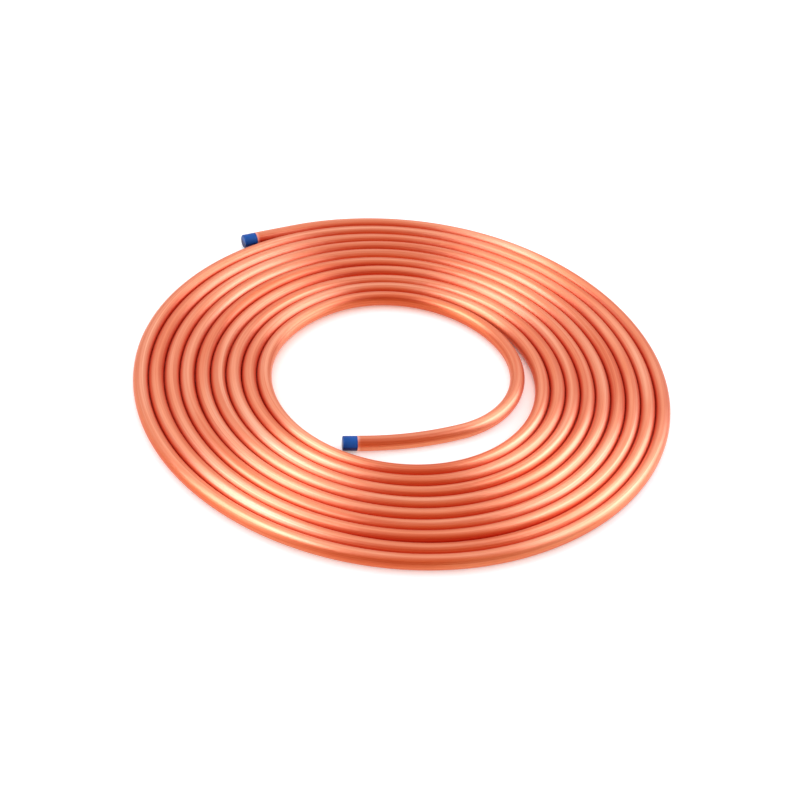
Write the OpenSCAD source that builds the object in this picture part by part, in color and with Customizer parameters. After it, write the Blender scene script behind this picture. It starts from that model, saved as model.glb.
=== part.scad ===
// Coil of soft copper tube: one tube wound in a flat spiral, with a cap in each end.
// It lies flat with +Z up. Seen from above, the tube runs clockwise inwards.
// The origin is on the floor, in the middle of the coil's outline.

/* [Tube] */
// Outside diameter of the tube
tube_od = 19.05; // [12.7:0.05:22.25]
// Wall thickness of the tube
tube_wall = 0.89; // [0.6:0.01:2]

/* [Coil] */
// Whole turns in the coil
turns = 9; // [4:1:12]
// Clear radius inside the innermost turn
bore_radius = 166; // [140:0.1:220]
// Gap between neighbouring turns
turn_gap = 0.3; // [0.1:0.05:2]
// Direction from the middle in which both ends of the tube leave the coil
seam_angle = 120; // [95:1:175]

/* [Outer end] */
// Straight length of tube from the outermost turn to its end
outer_straight = 57; // [40:1:80]

/* [Tail] */
// How much tighter the tail's first quarter turn is than the innermost turn
tail_first_step = 16.2; // [12:0.1:25]
// How much tighter the tail's second quarter turn is than its first
tail_second_step = 28.5; // [20:0.5:45]
// Bend radius of the rest of the tail, which is nearly straight
tail_last_radius = 385; // [300:5:900]
// Gap between the inner cap and the turn in front of it
tail_gap = 10; // [1:0.5:15]

/* [Caps] */
// Length of the head of a cap, outside the tube
cap_head = 18; // [10:1:25]
// How far the head lies inside the surface of the tube
cap_inset = 0.2; // [0:0.1:1]
// Radius of the rounded edge round the end of the head
cap_edge = 1.5; // [0.3:0.1:2.5]
// Thickness of the end of the head
cap_end = 2; // [1:0.1:4]
// Gap between the head and the end of the tube
cap_seat = 0.1; // [0:0.05:0.5]
// Length of the stem of a cap, inside the tube
stem_length = 12; // [6:1:16]
// Clearance between the stem and the bore of the tube, at the head
stem_fit = 0.2; // [0.1:0.05:0.4]
// How much the radius of the stem narrows to its tip
stem_taper = 0.8; // [0.6:0.1:1.5]
// Thickness of the stem at its tip
stem_wall = 1.2; // [0.8:0.1:2]

/* [Hidden] */
$fn = 96;

// Lengths that place one arc against the next are whole microns, so that the arcs meet exactly
function micron(length) = round(length * 1000) / 1000;

// The spiral is made of half circles about two centres, half a pitch apart on a seam through the
// middle, so the tube closes in by half a pitch each time it crosses the seam. The seam lies along X
// until the coil is turned to its place, and both ends leave the coil where it crosses +X.
tube_r = micron(tube_od / 2);
quarter_pitch = micron((tube_od + turn_gap) / 4);
pitch = 4 * quarter_pitch;
inner_radius = micron(bore_radius + tube_r);
outer_radius = inner_radius + (turns - 0.5) * pitch;
near_centre = quarter_pitch;
far_centre = -quarter_pitch;
outline_middle = [quarter_pitch, quarter_pitch];

// The tail goes on from the innermost turn in two quarter turns and a last bend to its end
first_radius = inner_radius - tail_first_step;
second_radius = first_radius - tail_second_step;
first_centre = [far_centre + tail_first_step, 0];
second_centre = first_centre - [0, tail_second_step];
last_centre = second_centre + [tail_last_radius - second_radius, 0];

// The outer corner of the inner cap goes round the last centre as the tail gets longer, and the tail
// stops where that corner meets a circle inside the innermost turn
cap_r = tube_r - cap_inset;
cap_top = cap_seat + cap_head;
corner = [tail_last_radius + cap_r, cap_top];
corner_limit = inner_radius - tube_r - tail_gap;
to_coil = [far_centre, 0] - last_centre;
corner_angle = atan2(to_coil.y, to_coil.x)
    - acos((norm(corner) ^ 2 + norm(to_coil) ^ 2 - corner_limit ^ 2) / (2 * norm(corner) * norm(to_coil)));
tail_sweep = floor(100 * (180 - corner_angle - atan(corner.y / corner.x))) / 100;

// The stem is hollow from its tip
stem_r = tube_r - tube_wall - stem_fit;
stem_tip_r = stem_r - stem_taper;
hollow_r = stem_tip_r - stem_wall;

// Section of the tube, with its bore
module tube_section() {
    difference() {
        circle(r = tube_r);
        circle(r = tube_r - tube_wall);
    }
}

// One half of the coil, with a half circle for each turn
module half_turns(centre, radius, from) {
    translate([centre, 0, tube_r])
        rotate_extrude(start = from, angle = 180)
            for (turn = [0 : turns - 1])
                translate([radius + turn * pitch, 0])
                    tube_section();
}

// One bend of the tail
module tail_bend(centre, radius, from, sweep) {
    translate([centre.x, centre.y, tube_r])
        rotate_extrude(start = from, angle = sweep)
            translate([radius, 0])
                tube_section();
}

// Places what lies along +Z from the end of the outermost turn
module at_outer_end() {
    translate([near_centre + outer_radius, 0, tube_r])
        rotate([-90, 0, 0])
            children();
}

// Places what lies along +Z from the end of the tail
module at_inner_end() {
    translate([last_centre.x, last_centre.y, tube_r])
        rotate([0, 0, 180 - tail_sweep])
            translate([tail_last_radius, 0, 0])
                rotate([90, 0, 0])
                    children();
}

// Cap that is pushed into the tube, whose end lies at z = 0
module cap() {
    edge_centre = [cap_r - cap_edge, cap_top - cap_edge];
    rotate_extrude()
        difference() {
            union() {
                polygon([
                    [0, -stem_length],
                    [stem_tip_r, -stem_length],
                    [stem_r, 0],
                    [stem_r, cap_seat],
                    [cap_r, cap_seat],
                    [cap_r, edge_centre.y],
                    [edge_centre.x, cap_top],
                    [0, cap_top]
                ]);
                translate(edge_centre)
                    circle(r = cap_edge);
            }
            translate([0, -stem_length])
                square([hollow_r, stem_length + cap_top - cap_end]);
        }
}

// Turns the coil to its place and puts the middle of its outline at the origin
module in_place() {
    translate([-outline_middle.x, -outline_middle.y, 0])
        rotate([0, 0, seam_angle])
            children();
}

module copper_tube() {
    color("#D9744A")
        in_place() {
            half_turns(far_centre, inner_radius, 0);
            half_turns(near_centre, inner_radius + pitch / 2, 180);
            at_outer_end()
                linear_extrude(outer_straight)
                    tube_section();
            tail_bend(first_centre, first_radius, 270, 90);
            tail_bend(second_centre, second_radius, 180, 90);
            tail_bend(last_centre, tail_last_radius, 180 - tail_sweep, tail_sweep);
        }
}

module outer_cap() {
    color("#24479C")
        in_place()
            at_outer_end()
                translate([0, 0, outer_straight])
                    cap();
}

module inner_cap() {
    color("#24479C")
        in_place()
            at_inner_end()
                cap();
}

copper_tube();
outer_cap();
inner_cap();
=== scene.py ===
"""Looks of a coil of soft copper tube with a plastic cap in each end.

The tube is swept again along the line it has in the CAD model, with the small unevenness of a coil
that was wound by machine and handled since, and the caps are turned again with a softer rim.
Lengths are in metres, angles in degrees and colours linear.
"""

import math

import bpy
import numpy as np
from mathutils import Matrix, Vector


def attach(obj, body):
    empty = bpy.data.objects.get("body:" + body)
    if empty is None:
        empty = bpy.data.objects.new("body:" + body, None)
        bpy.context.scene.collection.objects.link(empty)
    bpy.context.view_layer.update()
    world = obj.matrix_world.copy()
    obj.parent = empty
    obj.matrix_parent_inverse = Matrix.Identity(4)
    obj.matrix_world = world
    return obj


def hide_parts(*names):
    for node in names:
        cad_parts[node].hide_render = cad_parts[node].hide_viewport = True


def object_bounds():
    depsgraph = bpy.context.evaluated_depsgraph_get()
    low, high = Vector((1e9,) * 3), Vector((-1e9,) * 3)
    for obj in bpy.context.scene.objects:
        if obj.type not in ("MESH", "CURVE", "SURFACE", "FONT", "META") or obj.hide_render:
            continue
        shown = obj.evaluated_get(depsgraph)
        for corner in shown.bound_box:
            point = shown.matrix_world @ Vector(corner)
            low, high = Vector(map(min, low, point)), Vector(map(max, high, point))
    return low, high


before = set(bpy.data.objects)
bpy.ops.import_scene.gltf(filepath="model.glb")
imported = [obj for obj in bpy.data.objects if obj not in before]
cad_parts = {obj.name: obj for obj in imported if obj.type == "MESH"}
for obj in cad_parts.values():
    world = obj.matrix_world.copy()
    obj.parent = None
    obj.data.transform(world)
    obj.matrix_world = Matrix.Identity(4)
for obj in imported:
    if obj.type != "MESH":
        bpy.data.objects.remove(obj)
cad_low, cad_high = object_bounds()

# Tube and coil, as in the CAD model
TUBE_OD = 0.01905
TUBE_WALL = 0.00089
TURNS = 9
BORE_RADIUS = 0.166
TURN_GAP = 0.0003
SEAM_ANGLE = 120
OUTER_STRAIGHT = 0.057

# Tail, as in the CAD model
TAIL_FIRST_STEP = 0.0162
TAIL_SECOND_STEP = 0.0285
TAIL_LAST_RADIUS = 0.385
TAIL_GAP = 0.010

# Caps, as in the CAD model, with a small radius on the rim that meets the tube
CAP_HEAD = 0.018
CAP_INSET = 0.0002
CAP_EDGE = 0.0015
CAP_RIM = 0.0004
CAP_END = 0.002
CAP_SEAT = 0.0001
STEM_LENGTH = 0.012
STEM_FIT = 0.0002
STEM_TAPER = 0.0008
STEM_WALL = 0.0012

# The spiral is made of half circles about two centres, a quarter pitch to each side of its middle
TUBE_RADIUS = TUBE_OD / 2
PITCH = TUBE_OD + TURN_GAP
QUARTER_PITCH = PITCH / 4
INNER_RADIUS = BORE_RADIUS + TUBE_RADIUS
COIL_RADIUS = cad_high.x

# How finely the meshes are divided: a step along an arc, the points of the outer straight and of a
# cap's edge and rim, the sides of the tube and of a cap, the places of the rings on a cap's face and
# along its head, as shares of their size, and the angle from which an edge is sharp
ARC_STEP = 1.8
STRAIGHT_POINTS = 8
EDGE_POINTS = 8
RIM_POINTS = 6
TUBE_SIDES = 24
CAP_SIDES = 72
FACE_RING = 0.5
HEAD_RINGS = (0.3, 0.5, 0.7)
SHARP_ANGLE = 40

# How unevenly the coil lies: the most that a turn rises off the floor, the lengths of tube over which
# it rises and falls, the shift of each such wave, in radians for a metre of its length, and the length
# at each end over which the tube comes back to its even place
LIFT = 0.0024
LIFT_WAVES = (1.37, 0.83, 0.53)
LIFT_SHIFT = 7
EVEN_END = 0.45

# How far the turns are pushed in, all together, where the coil was handled: the direction of the
# place from the middle, and how wide it is
PUSH_IN = 0.0030
PUSH_ANGLE = 148
PUSH_WIDTH = 28

# Map on the tube: metres from its outer end, and the share of the way round it, from below
UV_NAME = "along_and_round"
TUBE_TOP = 0.5

# Stains on the copper: its tone at three levels of their noise, and how often they come, along and round
COPPER_DEEP = (0.79, 0.205, 0.064)
COPPER_MEAN = (0.855, 0.297, 0.120)
COPPER_PALE = (0.90, 0.395, 0.188)
STAIN_RAMP = ((0.36, COPPER_DEEP), (0.50, COPPER_MEAN), (0.64, COPPER_PALE))
STAIN_WAVES = (3.0, 1.8, 1)
STAIN_DETAIL = 4

# Streaks and finer lines along the copper, left by drawing: what they keep of its tone, by the level of
# their noise, how often they come, along and round, and how strongly they show
WHITE = (1, 1, 1)
STREAK_TONE = (0.87, 0.66, 0.54)
STREAK_RAMP = ((0.32, STREAK_TONE), (0.62, WHITE))
STREAK_WAVES = (2.0, 12, 1)
STREAK_DETAIL = 3
STREAK_SHOWN = 0.9
LINE_WAVES = (3.0, 40, 1)
LINE_DETAIL = 2
LINE_SHOWN = 0.8

# Painted shade on the flanks of the tube, darker and redder where turns face each other: what it keeps of
# the tube's tone, the shares of the way round from the top at which it starts and is complete, how
# strongly it shows where no turn lies beside the flank, and the length of tube over which that changes
PAINTED_FLANK_SHADE = (0.86, 0.16, 0.05)
FLANK_SHADE_START = 0.08
FLANK_SHADE_END = 0.24
FREE_FLANK_SHADE = 0.25
FREE_SHADE_EASE = 0.2

# Paler copper at each end of the tube, and the length over which it fades
PALE_END_TONE = (0.95, 0.47, 0.33)
PALE_END_LENGTH = 0.004

# Finish of the copper: its roughness at two levels of the streaks' noise, how much drawing has drawn out
# its gloss, and in which direction, as a share of a turn, and the thin clear film on it
STREAK_LOW = 0.3
STREAK_HIGH = 0.7
ROUGH_IN_STREAK = 0.43
ROUGH_BESIDE_STREAK = 0.35
DRAWN_GLOSS = 0.85
DRAWN_TURN = 0.25
FILM_WEIGHT = 0.2
FILM_ROUGHNESS = 0.36
FILM_IOR = 1.75

# Plastic: its tone and roughness at two levels of a cloudy noise, its gloss, and its fine grain
CLOUD_LOW = 0.3
CLOUD_HIGH = 0.7
PLASTIC_DEEP = (0.002, 0.060, 0.300)
PLASTIC_PALE = (0.004, 0.090, 0.400)
PLASTIC_RAMP = ((CLOUD_LOW, PLASTIC_DEEP), (CLOUD_HIGH, PLASTIC_PALE))
PLASTIC_SMOOTH = 0.28
PLASTIC_RUBBED = 0.38
PLASTIC_GLOSS = 0.2
CLOUD_WAVES = (90, 90, 90)
GRAIN_WAVES = (1800, 1800, 1800)
PLASTIC_DETAIL = 3
GRAIN_STRENGTH = 0.10
GRAIN_DEPTH = 0.00005

# Painted shade on the lower half of a cap, which is darker towards the floor: what it keeps of its tone,
# and the heights above the floor at which that starts and is complete
PAINTED_UNDERSIDE_SHADE = (1.0, 0.12, 0.32)
UNDERSIDE_SHADE_START = 0.60 * TUBE_OD
UNDERSIDE_SHADE_END = 0.48 * TUBE_OD

# Floor: its half width, colour and roughness, how strongly its bare part glows white, the width over
# which that fades under the coil, and the colour of a painted copper glow on it, a painted reflection of
# the copper, which starts inside the bore
FLOOR_HALF = 6
FLOOR_COLOUR = (0.93, 0.93, 0.93)
FLOOR_ROUGHNESS = 0.6
FLOOR_GLOW = 0.32
GLOW_EDGE = 0.01
PAINTED_COPPER_GLOW = (1.0, 0.60, 0.48)
COPPER_GLOW_START = 0.85 * BORE_RADIUS

# Studio: the direction of its white back, what gloss shows of it from its front over its roof to its
# back, what that keeps near the horizon, with the heights between which it changes, and its fill light
STUDIO_AXIS = (-0.40, 0.86, 0.32)
STUDIO_FRONT = (0.61, 0.18, 0.03)
STUDIO_ROOF = (0.86, 0.29, 0.06)
STUDIO_BACK = (1.24, 1.36, 1.85)
STUDIO_RAMP = ((0.20, STUDIO_FRONT), (0.52, STUDIO_ROOF), (0.83, STUDIO_BACK))
STUDIO_HORIZON = (0.60, 0.25, 0.12)
HORIZON_LOW = 0.10
HORIZON_HIGH = 0.50
STUDIO_FILL = (1.06, 1.06, 1.06)

# Soft lamps, which only gloss shows: name, place, width, height and power in watts
LAMP_COLOUR = (0.40, 0.62, 1.0)
SOFTBOXES = (
    ("softbox_left", (-2.22, -0.90, 2.82), 2.4, 3.4, 220),
    ("softbox_right", (1.10, 0.28, 0.82), 1.1, 1.3, 28),
)

# Camera, from the photograph
CAMERA_TARGET = Vector((-0.00184, -0.02793, -0.00603))
CAMERA_DISTANCE = 2.4911
CAMERA_ELEVATION = 39.17
CAMERA_ROLL = 6.765
CAMERA_LENS = 88.12
CAMERA_SENSOR = 36


def arc(centre, radius, start, end):
    """Points of an arc in the plane, without its first point."""
    count = max(2, round(abs(end - start) / ARC_STEP))
    angles = np.radians(np.linspace(start, end, count + 1))[1:]
    return np.array(centre) + radius * np.column_stack([np.cos(angles), np.sin(angles)])


def tail_arcs():
    """The two quarter turns and the last bend of the tail, as centre, radius, start and end."""
    coil_centre = np.array([-QUARTER_PITCH, 0])
    first_radius = INNER_RADIUS - TAIL_FIRST_STEP
    second_radius = first_radius - TAIL_SECOND_STEP
    first_centre = coil_centre + [TAIL_FIRST_STEP, 0]
    second_centre = first_centre - [0, TAIL_SECOND_STEP]
    last_centre = second_centre + [TAIL_LAST_RADIUS - second_radius, 0]

    # The tail stops where the outer corner of its cap meets a circle inside the innermost turn
    corner = np.array([TAIL_LAST_RADIUS + TUBE_RADIUS - CAP_INSET, CAP_SEAT + CAP_HEAD])
    limit = INNER_RADIUS - TUBE_RADIUS - TAIL_GAP
    to_coil = coil_centre - last_centre
    reach = np.linalg.norm(corner)
    apart = np.linalg.norm(to_coil)
    at_limit = math.acos((reach**2 + apart**2 - limit**2) / (2 * reach * apart))
    corner_angle = math.atan2(to_coil[1], to_coil[0]) - at_limit
    tail_end = math.degrees(corner_angle + math.atan2(corner[1], corner[0]))
    return [
        (first_centre, first_radius, 360, 270),
        (second_centre, second_radius, 270, 180),
        (last_centre, TAIL_LAST_RADIUS, 180, tail_end),
    ]


def coil_line():
    """Middle line of the even tube from its outer end to its inner end, seen from above."""
    outer_x = QUARTER_PITCH + INNER_RADIUS + (TURNS - 0.5) * PITCH
    straight = np.linspace(OUTER_STRAIGHT, 0, STRAIGHT_POINTS)
    runs = [np.column_stack([np.full_like(straight, outer_x), straight])]
    for turn in reversed(range(TURNS)):
        runs.append(arc((QUARTER_PITCH, 0), INNER_RADIUS + (turn + 0.5) * PITCH, 360, 180))
        runs.append(arc((-QUARTER_PITCH, 0), INNER_RADIUS + turn * PITCH, 180, 0))
    runs += [arc(*bend) for bend in tail_arcs()]

    # The seam, which lies along X so far, is turned to its place, and the outline put in the middle
    line = np.vstack(runs)
    seam = math.radians(SEAM_ANGLE)
    across = np.array([math.cos(seam), math.sin(seam)])
    along = np.array([-math.sin(seam), math.cos(seam)])
    return line[:, :1] * across + line[:, 1:] * along - QUARTER_PITCH


def lengths_along(line):
    """Length of a line from its start to each of its points."""
    steps = np.linalg.norm(np.diff(line, axis=0), axis=1)
    return np.concatenate([[0], np.cumsum(steps)])


def free_lengths():
    """Lengths of the outermost turn, of the innermost turn with the tail, and of the tail's free part."""
    first_turn = OUTER_STRAIGHT + 2 * math.pi * (COIL_RADIUS - TUBE_RADIUS)
    last_turn = 2 * math.pi * INNER_RADIUS
    bends = [radius * math.radians(start - end) for _, radius, start, end in tail_arcs()]
    return first_turn, last_turn + sum(bends), sum(bends[1:])


def lying_tube(line):
    """The middle line as the tube lies, pushed in at one side and off the floor here and there."""
    length = lengths_along(line)
    from_end = np.clip(np.minimum(length, length[-1] - length) / EVEN_END, 0, 1)
    share = from_end**2 * (3 - 2 * from_end)

    outwards = line / np.linalg.norm(line, axis=1)[:, None]
    angle = np.degrees(np.arctan2(line[:, 1], line[:, 0]))
    away = (angle - PUSH_ANGLE + 180) % 360 - 180
    push = PUSH_IN * share * np.exp(-((away / PUSH_WIDTH) ** 2))
    waves = sum(np.sin(2 * np.pi * length / wave + LIFT_SHIFT * wave) for wave in LIFT_WAVES)
    rise = LIFT * share * (0.5 + 0.5 * waves / len(LIFT_WAVES))
    return np.column_stack([line - push[:, None] * outwards, TUBE_RADIUS + rise])


def add_mesh(name, verts, faces, uvs, material):
    """A smooth mesh object that keeps its sharp edges, with UVs for the corners of each face."""
    mesh = bpy.data.meshes.new(name)
    mesh.from_pydata(verts, [], faces)
    layer = mesh.uv_layers.new(name=UV_NAME)
    layer.uv.foreach_set("vector", np.asarray(uvs, dtype=np.float32).ravel())
    mesh.polygons.foreach_set("use_smooth", [True] * len(mesh.polygons))
    mesh.set_sharp_from_angle(angle=math.radians(SHARP_ANGLE))
    mesh.materials.append(material)
    piece = bpy.data.objects.new(name, mesh)
    bpy.context.scene.collection.objects.link(piece)
    return piece


def grid_faces(rows, columns, flip):
    """Quads between rows of points whose last column joins the first, and their UV steps."""
    row, column = np.meshgrid(np.arange(rows - 1), np.arange(columns), indexing="ij")
    row = row.ravel()
    column = column.ravel()
    after = (column + 1) % columns
    corners = [(row, column, 0), (row + 1, column, 0), (row + 1, after, 1), (row, after, 1)]
    if flip:
        corners.reverse()
    faces = np.column_stack([r * columns + c for r, c, _ in corners])
    steps = np.stack([np.column_stack([r, column + more]) for r, _, more in corners], axis=1)
    return faces, steps


def add_tube(name, line, material):
    """A tube with its bore along a line in space."""
    length = lengths_along(line)
    along = np.gradient(line, length, axis=0)
    along /= np.linalg.norm(along, axis=1)[:, None]
    side = np.cross(along, [0, 0, 1])
    side /= np.linalg.norm(side, axis=1)[:, None]
    up = np.cross(side, along)
    angles = np.radians(-90) + 2 * np.pi * np.arange(TUBE_SIDES) / TUBE_SIDES
    spokes = np.cos(angles)[:, None] * side[:, None] + np.sin(angles)[:, None] * up[:, None]

    rows = len(line)
    outside = line[:, None] + spokes * TUBE_RADIUS
    inside = line[:, None] + spokes * (TUBE_RADIUS - TUBE_WALL)
    verts = np.vstack([outside.reshape(-1, 3), inside.reshape(-1, 3)])
    skin, skin_steps = grid_faces(rows, TUBE_SIDES, True)
    bore, bore_steps = grid_faces(rows, TUBE_SIDES, False)
    faces = [skin, bore + rows * TUBE_SIDES]
    steps = [skin_steps, bore_steps]

    # A ring of faces closes the wall at each end
    here = np.arange(TUBE_SIDES)
    after = (here + 1) % TUBE_SIDES
    for row, ahead in ((0, False), (rows - 1, True)):
        outer = row * TUBE_SIDES
        inner = outer + rows * TUBE_SIDES
        ring = np.column_stack([outer + here, outer + after, inner + after, inner + here])
        ring_row = np.full_like(here, row)
        ring_steps = np.stack(
            [np.column_stack([ring_row, here + more]) for more in (0, 1, 1, 0)], axis=1
        )
        faces.append(ring if ahead else ring[:, ::-1])
        steps.append(ring_steps if ahead else ring_steps[:, ::-1])
    steps = np.vstack(steps)
    uvs = np.stack([length[steps[..., 0]], steps[..., 1] / TUBE_SIDES], axis=-1)
    return add_mesh(name, verts, np.vstack(faces).tolist(), uvs, material)


def rounded(centre, radius, start, end, count):
    """Radius and height of points on a rounded corner of a turned profile."""
    angles = np.radians(np.linspace(start, end, count))
    return [(centre[0] + radius * math.cos(a), centre[1] + radius * math.sin(a)) for a in angles]


def cap_profile():
    """Profile of a cap as radius and height, from its flat end round to the bottom of its hollow."""
    head_r = TUBE_RADIUS - CAP_INSET
    top = CAP_SEAT + CAP_HEAD
    stem_r = TUBE_RADIUS - TUBE_WALL - STEM_FIT
    tip_r = stem_r - STEM_TAPER
    hollow_r = tip_r - STEM_WALL
    profile = [(FACE_RING * head_r, top)]
    profile += rounded((head_r - CAP_EDGE, top - CAP_EDGE), CAP_EDGE, 90, 0, EDGE_POINTS)
    profile += [(head_r, top - share * CAP_HEAD) for share in HEAD_RINGS]
    profile += rounded((head_r - CAP_RIM, CAP_SEAT + CAP_RIM), CAP_RIM, 0, -90, RIM_POINTS)
    profile += [(stem_r, CAP_SEAT), (stem_r, 0), (tip_r, -STEM_LENGTH), (hollow_r, -STEM_LENGTH)]
    profile += [(hollow_r, top - CAP_END)]
    return profile


def add_cap(name, end, outwards, material):
    """A cap turned about the direction in which the tube ends."""
    profile = np.array(cap_profile())
    turn = Vector(outwards).to_track_quat("Z", "Y").to_matrix()
    angles = 2 * np.pi * np.arange(CAP_SIDES) / CAP_SIDES
    radius = profile[:, :1]
    height = profile[:, 1:]
    points = np.stack(
        [radius * np.cos(angles), radius * np.sin(angles), height + 0 * angles], axis=-1
    )
    verts = points.reshape(-1, 3) @ np.array(turn).T + end
    faces, steps = grid_faces(len(profile), CAP_SIDES, True)
    flat_end = np.arange(CAP_SIDES)
    hollow_end = (len(profile) - 1) * CAP_SIDES + flat_end[::-1]
    faces = [*faces.tolist(), flat_end.tolist(), hollow_end.tolist()]

    run = lengths_along(profile)
    side_uvs = np.stack([run[steps[..., 0]], steps[..., 1] / CAP_SIDES], axis=-1).reshape(-1, 2)
    flat_uvs = [np.column_stack([np.full_like(angles, at), angles]) for at in (run[0], run[-1])]
    return add_mesh(name, verts, faces, np.vstack([side_uvs, *flat_uvs]), material)


def new_material(name):
    """A node material with its node tree and its Principled shader."""
    material = bpy.data.materials.new(name)
    material.use_nodes = True
    return material, material.node_tree, material.node_tree.nodes["Principled BSDF"]


def feed(tree, node, inputs):
    """Feeds the inputs of a node, by name or number, each from a socket or with a value."""
    for key, value in inputs.items():
        socket = node.inputs[key]
        if isinstance(value, bpy.types.NodeSocket):
            tree.links.new(value, socket)
        elif socket.type == "RGBA":
            socket.default_value = (*value, 1)
        else:
            socket.default_value = value


def add_node(tree, kind, inputs=None, **settings):
    """A node with its settings made and its inputs fed."""
    node = tree.nodes.new(kind)
    for name, value in settings.items():
        setattr(node, name, value)
    feed(tree, node, inputs or {})
    return node


def noise(tree, where, waves, detail):
    """Noise with so many waves for each unit of its coordinates."""
    place = add_node(tree, "ShaderNodeMapping", {"Vector": where, "Scale": waves}).outputs["Vector"]
    inputs = {"Vector": place, "Scale": 1, "Detail": detail}
    return add_node(tree, "ShaderNodeTexNoise", inputs).outputs["Fac"]


def ramp(tree, factor, stops):
    """A colour ramp with stops of place and colour."""
    node = add_node(tree, "ShaderNodeValToRGB", {"Fac": factor})
    elements = node.color_ramp.elements
    while len(elements) < len(stops):
        elements.new(1)
    for element, (place, colour) in zip(elements, stops):
        element.position = place
        element.color = (*colour, 1)
    return node.outputs["Color"]


def remap(tree, factor, low, high, to_low, to_high):
    """A number carried from one range to another and kept inside it."""
    inputs = {"Value": factor, "From Min": low, "From Max": high, "To Min": to_low, "To Max": to_high}
    return add_node(tree, "ShaderNodeMapRange", inputs).outputs["Result"]


def number(tree, operation, first, second=0.0):
    """What an operation makes of one or two numbers, each a value or a socket."""
    inputs = {0: first, 1: second}
    return add_node(tree, "ShaderNodeMath", inputs, operation=operation).outputs["Value"]


def mix(tree, factor, first, second, blend="MIX"):
    """Two colours mixed by a factor, each a value or a socket."""
    inputs = {0: factor, 6: first, 7: second}
    return add_node(tree, "ShaderNodeMix", inputs, data_type="RGBA", blend_type=blend).outputs[2]


def part_of(tree, vector, axis):
    """One part of a vector."""
    return add_node(tree, "ShaderNodeSeparateXYZ", {"Vector": vector}).outputs[axis]


def painted_flank_shade(tree, from_start, to_far_end, way_round):
    """How strongly painted shade darkens a place on the tube's flank, and less so where no turn lies
    beside it.
    """
    from_top = number(tree, "ABSOLUTE", number(tree, "SUBTRACT", way_round, TUBE_TOP))
    flank_shade = remap(tree, from_top, FLANK_SHADE_START, FLANK_SHADE_END, 0, 1)
    inner_side = number(tree, "LESS_THAN", way_round, TUBE_TOP)
    outer_side = number(tree, "SUBTRACT", 1, inner_side)

    first_turn, last_turn, free_tail = free_lengths()
    outermost = remap(tree, from_start, first_turn - FREE_SHADE_EASE, first_turn, 1, 0)
    innermost = remap(tree, to_far_end, last_turn - FREE_SHADE_EASE, last_turn, 1, 0)
    tail = remap(tree, to_far_end, free_tail - FREE_SHADE_EASE, free_tail, 1, 0)
    free = number(tree, "MAXIMUM", number(tree, "MULTIPLY", outer_side, outermost), tail)
    free = number(tree, "MAXIMUM", number(tree, "MULTIPLY", inner_side, innermost), free)
    return number(tree, "MULTIPLY", flank_shade, remap(tree, free, 0, 1, 1, FREE_FLANK_SHADE))


def copper_material(length):
    """Drawn copper: stained and streaked, with painted shade that makes it darker and redder where turns
    face each other, and paler at its ends.
    """
    material, tree, shader = new_material("drawn_copper")
    where = add_node(tree, "ShaderNodeUVMap", uv_map=UV_NAME).outputs["UV"]
    stain = noise(tree, where, STAIN_WAVES, STAIN_DETAIL)
    streak = noise(tree, where, STREAK_WAVES, STREAK_DETAIL)
    lines = noise(tree, where, LINE_WAVES, LINE_DETAIL)
    tone = ramp(tree, stain, STAIN_RAMP)
    tone = mix(tree, STREAK_SHOWN, tone, ramp(tree, streak, STREAK_RAMP), "MULTIPLY")
    tone = mix(tree, LINE_SHOWN, tone, ramp(tree, lines, STREAK_RAMP), "MULTIPLY")

    from_start = part_of(tree, where, "X")
    to_far_end = number(tree, "SUBTRACT", length, from_start)
    flank_shade = painted_flank_shade(tree, from_start, to_far_end, part_of(tree, where, "Y"))
    # Painted shade: the flanks are darkened and reddened where turns face each other
    tone = mix(tree, flank_shade, tone, PAINTED_FLANK_SHADE, "MULTIPLY")
    from_end = number(tree, "MINIMUM", from_start, to_far_end)
    # Paler copper over the last few millimetres at each end of the tube
    tone = mix(tree, remap(tree, from_end, 0, PALE_END_LENGTH, 1, 0), tone, PALE_END_TONE)

    rough = remap(tree, streak, STREAK_LOW, STREAK_HIGH, ROUGH_IN_STREAK, ROUGH_BESIDE_STREAK)
    drawn = add_node(tree, "ShaderNodeTangent", direction_type="UV_MAP", uv_map=UV_NAME)
    feed(tree, shader, {
        "Base Color": tone,
        "Metallic": 1,
        "Roughness": rough,
        "Anisotropic": DRAWN_GLOSS,
        "Anisotropic Rotation": DRAWN_TURN,
        "Tangent": drawn.outputs["Tangent"],
        "Coat Weight": FILM_WEIGHT,
        "Coat Roughness": FILM_ROUGHNESS,
        "Coat IOR": FILM_IOR,
    })
    return material


def plastic_material():
    """Blue moulded plastic with a fine satin grain and a few rubbed marks, with painted shade below."""
    material, tree, shader = new_material("blue_plastic")
    where = add_node(tree, "ShaderNodeTexCoord").outputs["Object"]
    cloud = noise(tree, where, CLOUD_WAVES, PLASTIC_DETAIL)
    grain = noise(tree, where, GRAIN_WAVES, PLASTIC_DETAIL)
    # Painted shade: the cap's colour is darkened below a height above the floor
    underside_shade = remap(tree, part_of(tree, where, "Z"), UNDERSIDE_SHADE_END, UNDERSIDE_SHADE_START, 1, 0)
    rough = remap(tree, cloud, CLOUD_LOW, CLOUD_HIGH, PLASTIC_SMOOTH, PLASTIC_RUBBED)
    relief = {"Height": grain, "Strength": GRAIN_STRENGTH, "Distance": GRAIN_DEPTH}
    feed(tree, shader, {
        "Base Color": mix(tree, underside_shade, ramp(tree, cloud, PLASTIC_RAMP), PAINTED_UNDERSIDE_SHADE, "MULTIPLY"),
        "Roughness": rough,
        "Specular IOR Level": PLASTIC_GLOSS,
        "Normal": add_node(tree, "ShaderNodeBump", relief).outputs["Normal"],
    })
    return material


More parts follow.
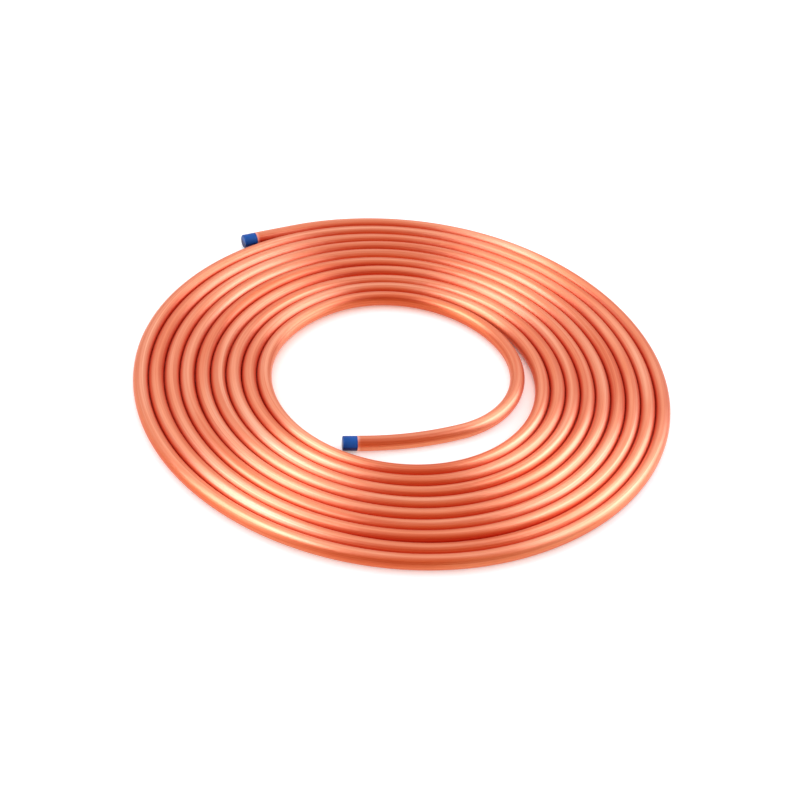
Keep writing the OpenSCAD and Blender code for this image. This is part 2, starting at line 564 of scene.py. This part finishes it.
def floor_material():
    """White floor that takes the shadow of the coil, glows a little where it is bare, and has a painted
    copper glow inside the bore.
    """
    material, tree, shader = new_material("white_floor")
    rays = add_node(tree, "ShaderNodeLightPath").outputs
    seen = number(tree, "MAXIMUM", rays["Is Camera Ray"], rays["Is Glossy Ray"])
    seen = number(tree, "MAXIMUM", seen, rays["Is Transmission Ray"])
    where = add_node(tree, "ShaderNodeTexCoord").outputs["Object"]
    out = add_node(tree, "ShaderNodeVectorMath", {0: where}, operation="LENGTH").outputs["Value"]
    inside = remap(tree, out, BORE_RADIUS, BORE_RADIUS + GLOW_EDGE, 1, 0)
    outside = remap(tree, out, COIL_RADIUS - GLOW_EDGE, COIL_RADIUS, 0, 1)
    bare = number(tree, "MAXIMUM", inside, outside)
    glow = number(tree, "MULTIPLY", number(tree, "MULTIPLY", seen, bare), FLOOR_GLOW)

    # The painted copper glow grows towards the innermost turn and has gone where the outermost turn ends
    grown = remap(tree, out, COPPER_GLOW_START, BORE_RADIUS, 0, 1)
    gone = remap(tree, out, BORE_RADIUS, COIL_RADIUS, 0, 1)
    copper_glow = number(tree, "SUBTRACT", grown, gone)
    feed(tree, shader, {
        "Base Color": FLOOR_COLOUR,
        "Roughness": FLOOR_ROUGHNESS,
        "Emission Color": mix(tree, copper_glow, WHITE, PAINTED_COPPER_GLOW),
        "Emission Strength": glow,
    })
    return material


def add_floor():
    """A flat floor wide enough to fill the picture."""
    signs = ((-1, -1), (1, -1), (1, 1), (-1, 1))
    verts = [(x * FLOOR_HALF, y * FLOOR_HALF, 0) for x, y in signs]
    mesh = bpy.data.meshes.new("floor")
    mesh.from_pydata(verts, [], [(0, 1, 2, 3)])
    mesh.materials.append(floor_material())
    floor = bpy.data.objects.new("floor", mesh)
    bpy.context.scene.collection.objects.link(floor)


def add_world():
    """A studio with a white back and a dark, warm side behind the camera, which gloss alone shows."""
    world = bpy.data.worlds.new("studio")
    bpy.context.scene.world = world
    world.use_nodes = True
    tree = world.node_tree
    direction = add_node(tree, "ShaderNodeTexCoord").outputs["Generated"]
    sides = {0: direction, 1: STUDIO_AXIS}
    depth = add_node(tree, "ShaderNodeVectorMath", sides, operation="DOT_PRODUCT").outputs["Value"]
    walls = ramp(tree, remap(tree, depth, -1, 1, 0, 1), STUDIO_RAMP)
    low_down = remap(tree, part_of(tree, direction, "Z"), HORIZON_LOW, HORIZON_HIGH, 1, 0)
    studio = mix(tree, low_down, walls, STUDIO_HORIZON, "MULTIPLY")
    rays = add_node(tree, "ShaderNodeLightPath").outputs
    plain = mix(tree, rays["Is Camera Ray"], STUDIO_FILL, WHITE)
    colour = mix(tree, rays["Is Glossy Ray"], plain, studio)
    feed(tree, tree.nodes["Background"], {"Color": colour, "Strength": 1})


def add_softbox(name, place, width, height, power):
    """A soft lamp that faces the middle of the coil and only shows in gloss."""
    lamp = bpy.data.lights.new(name, "AREA")
    lamp.shape = "RECTANGLE"
    lamp.size = width
    lamp.size_y = height
    lamp.energy = power
    lamp.color = LAMP_COLOUR
    softbox = bpy.data.objects.new(name, lamp)
    softbox.location = place
    softbox.visible_diffuse = False
    softbox.rotation_euler = (-softbox.location).to_track_quat("-Z", "Y").to_euler()
    bpy.context.scene.collection.objects.link(softbox)


def add_camera():
    """The camera at the photograph's angle, rolled as the photograph is."""
    data = bpy.data.cameras.new("camera")
    data.lens = CAMERA_LENS
    data.sensor_width = CAMERA_SENSOR
    camera = bpy.data.objects.new("camera", data)
    raised = math.radians(CAMERA_ELEVATION)
    back = Vector((0, -math.cos(raised), math.sin(raised)))
    aim = (-back).to_track_quat("-Z", "Y").to_matrix().to_4x4()
    roll = Matrix.Rotation(math.radians(CAMERA_ROLL), 4, "Z")
    place = Matrix.Translation(CAMERA_TARGET + back * CAMERA_DISTANCE)
    camera.matrix_world = place @ aim @ roll
    bpy.context.scene.collection.objects.link(camera)
    bpy.context.scene.camera = camera


def main():
    """Makes every piece, the stage, the lights and the camera."""
    line = lying_tube(coil_line())
    copper = copper_material(lengths_along(line)[-1])
    plastic = plastic_material()
    pieces = [
        (add_tube("tube", line, copper), "copper_tube", "copper"),
        (add_cap("cap_outer", line[0], line[0] - line[1], plastic), "outer_cap", "cap_plastic"),
        (add_cap("cap_inner", line[-1], line[-1] - line[-2], plastic), "inner_cap", "cap_plastic"),
    ]
    for piece, node, slot in pieces:
        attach(piece, "root")
        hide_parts(node)
    add_floor()
    add_world()
    for softbox in SOFTBOXES:
        add_softbox(*softbox)
    add_camera()
    bpy.context.scene.view_settings.view_transform = "Standard"


main()
